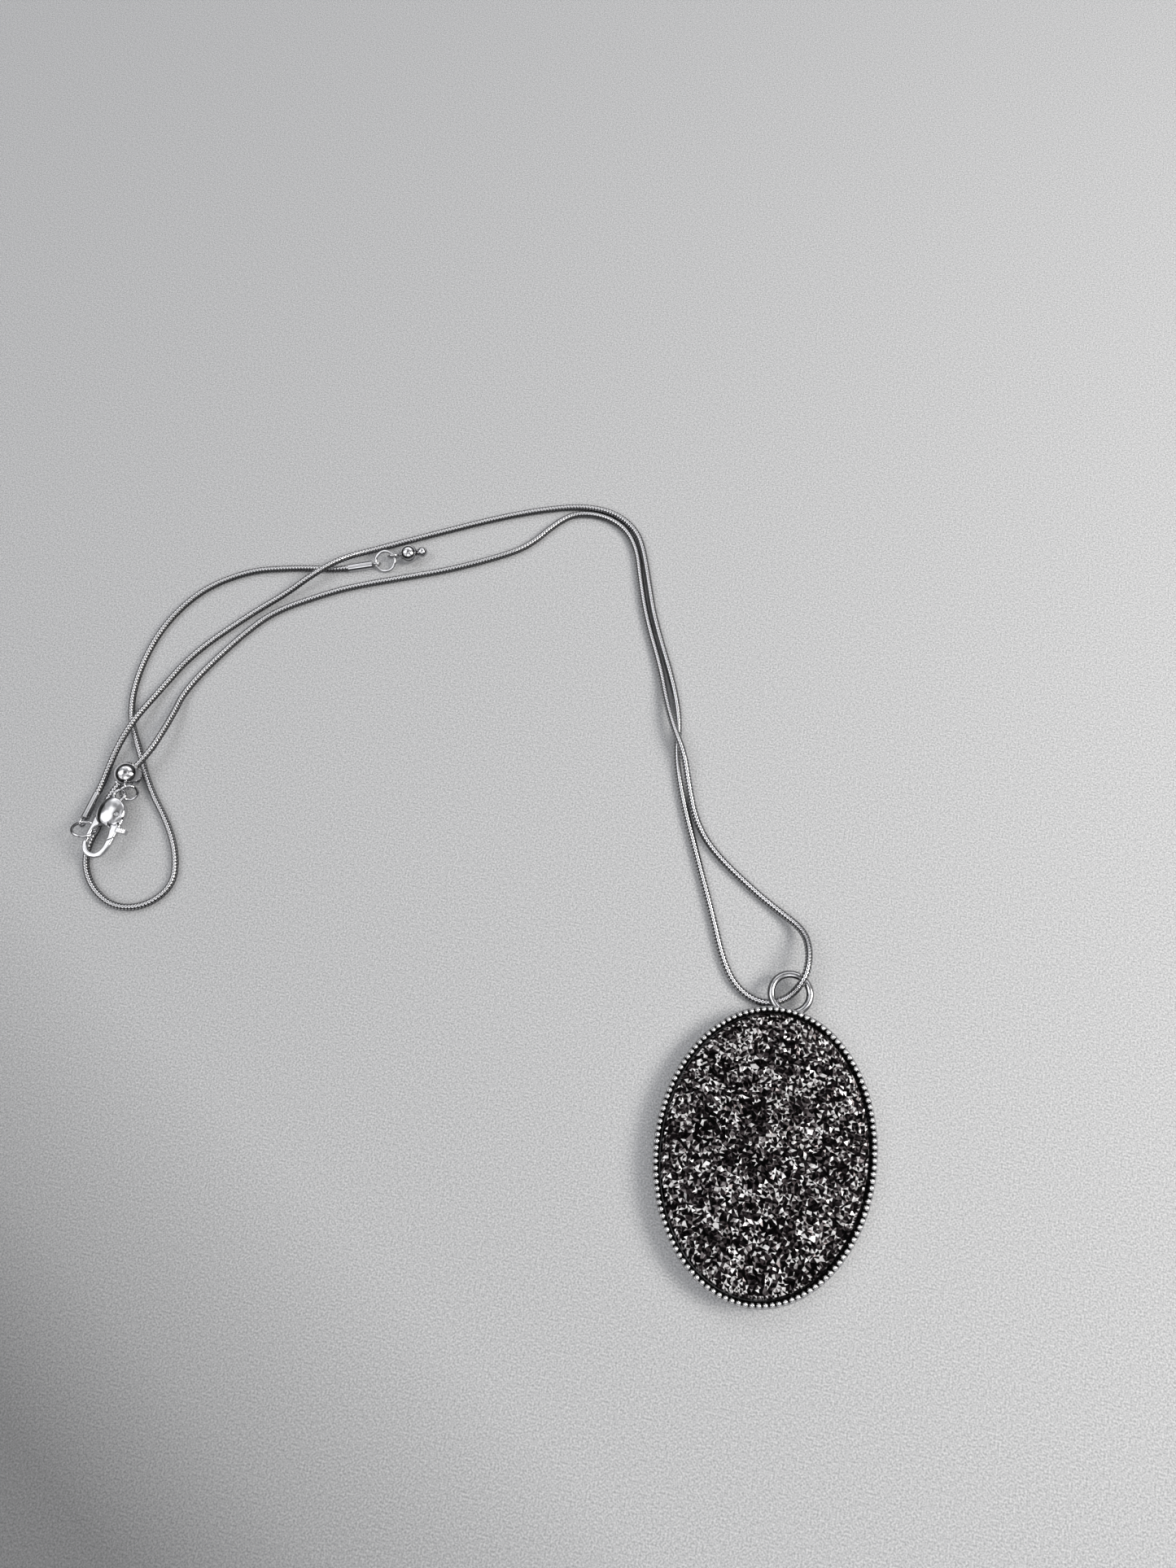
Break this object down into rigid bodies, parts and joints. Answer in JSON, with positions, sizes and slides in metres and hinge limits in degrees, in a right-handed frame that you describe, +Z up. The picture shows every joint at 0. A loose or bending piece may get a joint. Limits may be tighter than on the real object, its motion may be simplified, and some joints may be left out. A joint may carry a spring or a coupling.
{
  "type": "pendant necklace",
  "caption": "Oval druzy-stone pendant in a beaded metal tray on a long thin snake chain closed with a lobster clasp and a slider bead.",
  "frame": {"origin": "middle of the pendant's flat back, where it rests on the table", "axes": "+Y along the pendant's long axis towards its bail, +Z up out of the stone, +X to the pendant's right seen from the front"},
  "size_m": [0.1375, 0.1268, 0.0049],
  "materials": {
    "chain_silver": "bright rhodium-coloured plate, links polished",
    "bright_silver": "bright polished plate",
    "antique_silver": "antiqued silver plate, dark in the recesses",
    "pin_steel": "plain steel",
    "silicone": "translucent silicone",
    "druzy_resin": "charcoal glitter resin with sparkling grains",
    "adhesive": "dried clear craft glue"
  },
  "bodies": {
    "chain": {"snake_chain": "chain_silver", "clasp_end_cap": "bright_silver", "tail_end_cap": "bright_silver"},
    "pendant": {"bezel_tray": "antique_silver", "rim_beads": "antique_silver", "cabochon": "druzy_resin", "adhesive_pad": "adhesive", "bail_ring": "antique_silver"},
    "slider": {"slider_bead": "bright_silver", "slider_core": "silicone", "slider_loop": "bright_silver"},
    "link_ring": {"lobster_ring": "bright_silver"},
    "lobster": {"lobster_body": "bright_silver", "trigger_pin": "pin_steel", "trigger_spring": "pin_steel"},
    "trigger": {"lobster_trigger": "bright_silver"},
    "cap_ring": {"clasp_cap_ring": "bright_silver"},
    "tail_ring": {"tail_jump_ring": "bright_silver"},
    "tail_drop": {"tail_eye_pin": "bright_silver", "tail_ball": "bright_silver", "tail_small_ball": "bright_silver"}
  },
  "joints": [
    {"name": "pendant_swing", "type": "hinge", "parent": "chain", "child": "pendant", "pos_m": [0.0001, 0.0237, 0.00242], "axis": [1, 0, 0], "range_deg": [-60, 0]},
    {"name": "slider_travel", "type": "slide", "parent": "chain", "child": "slider", "axis": [0.5139, 0.8509, 0.1091], "range_m": [-0.0004, 0]},
    {"name": "link_ring_swing", "type": "hinge", "parent": "slider", "child": "link_ring", "pos_m": [-0.11447, 0.03417, 0.00275], "axis": [0.4742, 0.7405, 0.4763], "range_deg": [-5, 5]},
    {"name": "lobster_flip", "type": "hinge", "parent": "slider", "child": "lobster", "pos_m": [-0.11472, 0.03411, 0.00272], "axis": [-0.355, -0.9349, 0], "range_deg": [-3, 3]},
    {"name": "trigger_pull", "type": "hinge", "parent": "lobster", "child": "trigger", "pos_m": [-0.11346, 0.03057, 0.00272], "axis": [0, 0, -1], "range_deg": [0, 20], "stiffness_Nm_per_rad": 0.002, "springref_deg": -17.19},
    {"name": "cap_ring_swing", "type": "hinge", "parent": "chain", "child": "cap_ring", "pos_m": [-0.11973, 0.02854, 0.00194], "axis": [0.8437, -0.4608, 0.2755], "range_deg": [-2, 2]},
    {"name": "tail_ring_swing", "type": "hinge", "parent": "chain", "child": "tail_ring", "pos_m": [-0.08456, 0.08647, 0.00074], "axis": [0.4489, -0.8099, -0.3776], "range_deg": [-20, 40]},
    {"name": "tail_drop_swing", "type": "hinge", "parent": "tail_ring", "child": "tail_drop", "pos_m": [-0.08153, 0.0882, 0.00155], "axis": [-0.6157, 0.7142, 0.333], "range_deg": [-45, 45]}
  ]
}
